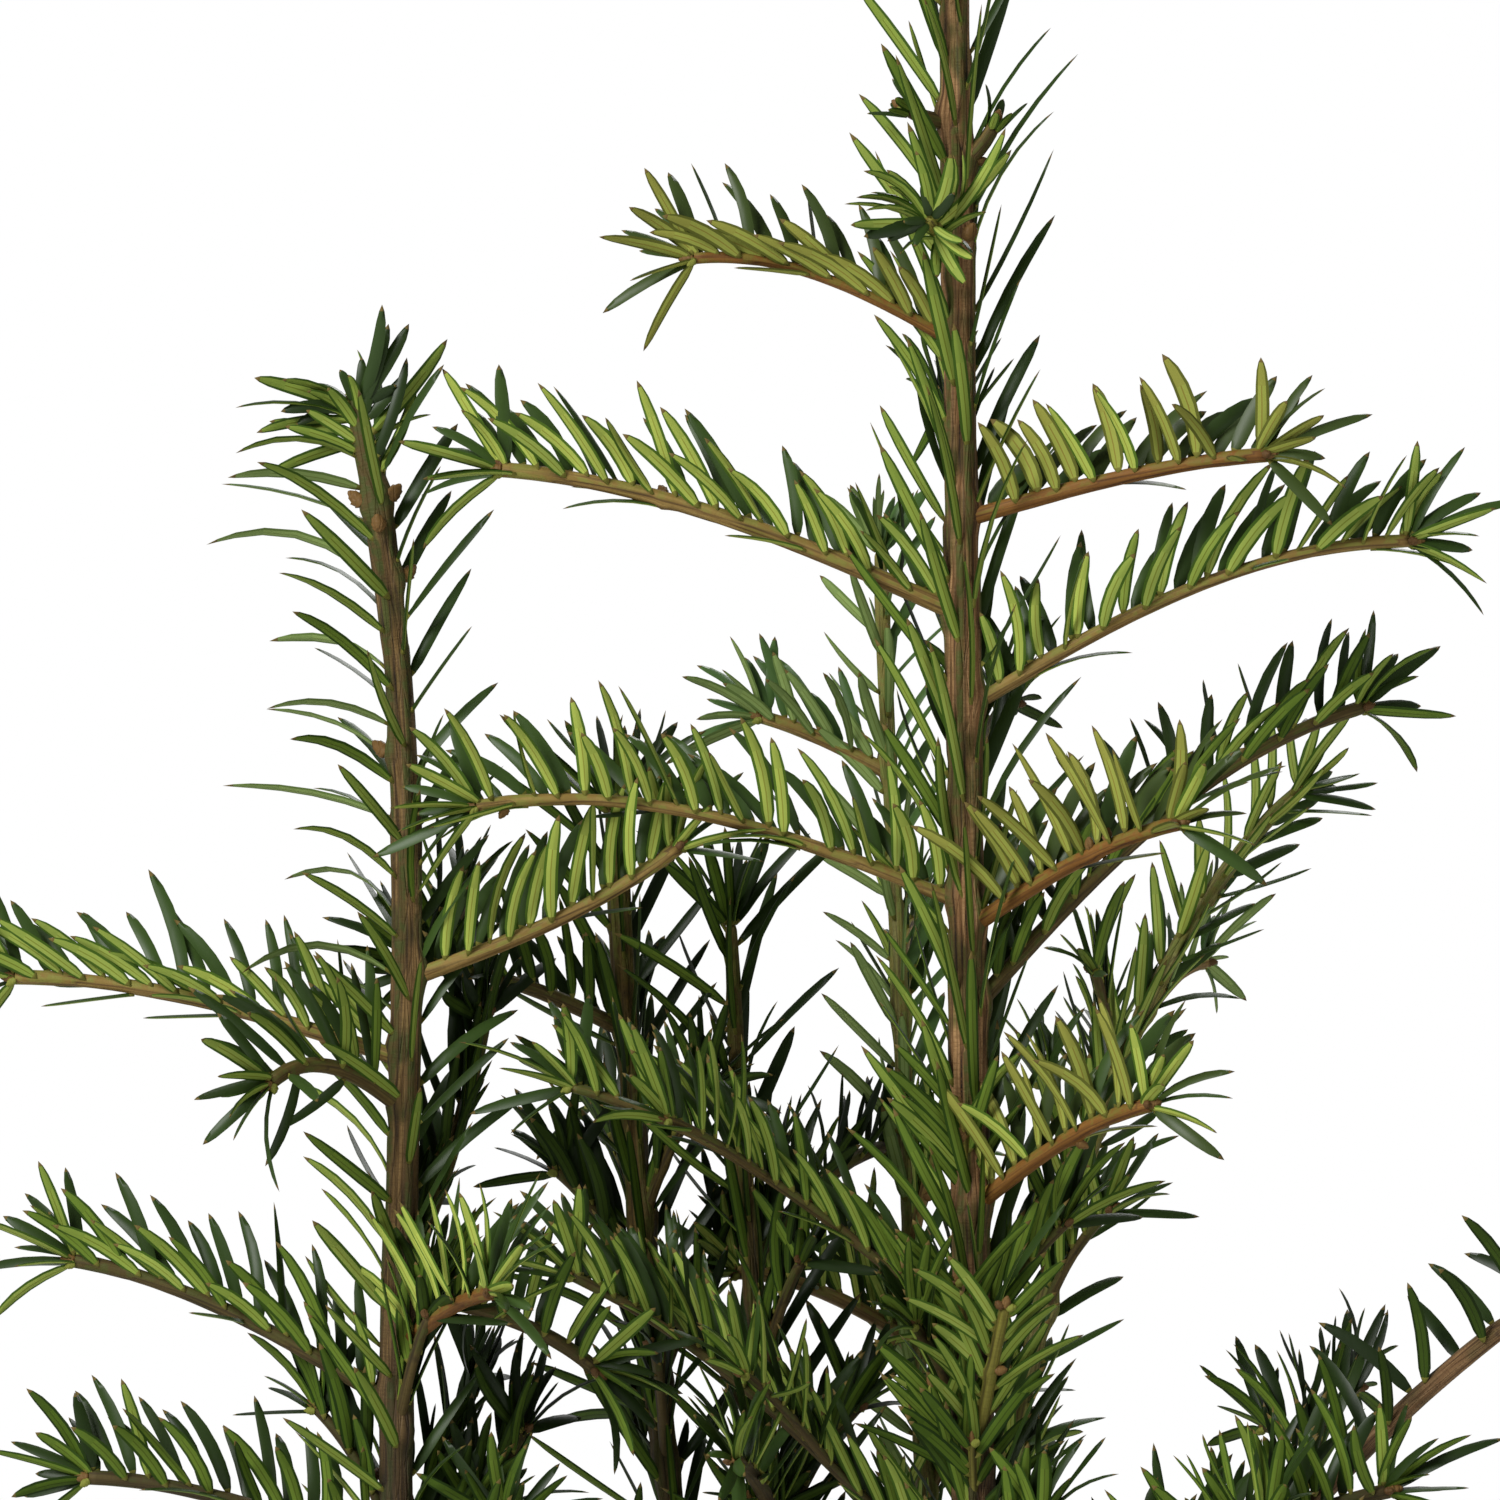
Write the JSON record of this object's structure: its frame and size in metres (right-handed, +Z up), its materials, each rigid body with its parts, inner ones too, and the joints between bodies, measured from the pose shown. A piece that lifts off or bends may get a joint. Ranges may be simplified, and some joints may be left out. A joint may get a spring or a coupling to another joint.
{
  "type": "english yew shrub",
  "caption": "Young evergreen conifer shrub with a straight main stem, forked leaders, arching side sprays and flat pointed needles, fixed in the ground at its foot.",
  "frame": {"origin": "centre of the flat cut under the main stem, at ground level", "axes": "+Z up along the main stem, +X to the right seen from the front, +Y to the back"},
  "size_m": [0.3656, 0.2795, 0.6647],
  "materials": {
    "bark": "rough reddish-brown bark with green ridges",
    "foliage": "glossy dark green needles with yellow-green undersides"
  },
  "bodies": {
    "root": {"trunk": "bark", "left-bough": "bark", "left-leader": "bark", "middle-left-leader": "bark", "middle-leader": "bark", "back-leader": "bark", "back-right-leader": "bark", "right-bough": "bark", "trunk-spray-01": "foliage", "trunk-spray-02": "foliage", "trunk-spray-03": "foliage", "trunk-spray-04": "foliage", "trunk-spray-05": "foliage", "trunk-spray-06": "foliage", "trunk-spray-07": "foliage", "trunk-spray-08": "foliage", "trunk-spray-09": "foliage", "trunk-spray-10": "foliage", "trunk-spray-11": "foliage", "trunk-spray-12": "foliage", "trunk-spray-13": "foliage", "trunk-spray-14": "foliage", "trunk-spray-15": "foliage", "left-leader-spray-01": "foliage", "left-leader-spray-02": "foliage", "left-leader-spray-03": "foliage", "left-leader-spray-04": "foliage", "left-leader-spray-05": "foliage", "left-leader-spray-06": "foliage", "left-leader-spray-07": "foliage", "left-leader-spray-08": "foliage", "left-leader-spray-09": "foliage", "middle-left-leader-spray-01": "foliage", "middle-left-leader-spray-02": "foliage", "middle-leader-spray-01": "foliage", "middle-leader-spray-02": "foliage", "back-leader-spray-01": "foliage", "back-leader-spray-02": "foliage", "back-leader-spray-03": "foliage", "back-right-leader-spray-01": "foliage", "back-right-leader-spray-02": "foliage", "trunk-spray-16": "foliage", "trunk-spray-17": "foliage", "trunk-spray-18": "foliage", "trunk-spray-19": "foliage", "trunk-spray-20": "foliage", "left-bough-spray-01": "foliage", "left-bough-spray-02": "foliage", "left-bough-spray-03": "foliage", "left-bough-spray-04": "foliage", "right-bough-spray-01": "foliage", "right-bough-spray-02": "foliage", "trunk-needles": "foliage", "left-leader-needles": "foliage", "middle-left-leader-needles": "foliage", "middle-leader-needles": "foliage", "back-leader-needles": "foliage", "back-right-leader-needles": "foliage", "right-bough-needles": "foliage"}
  },
  "joints": []
}
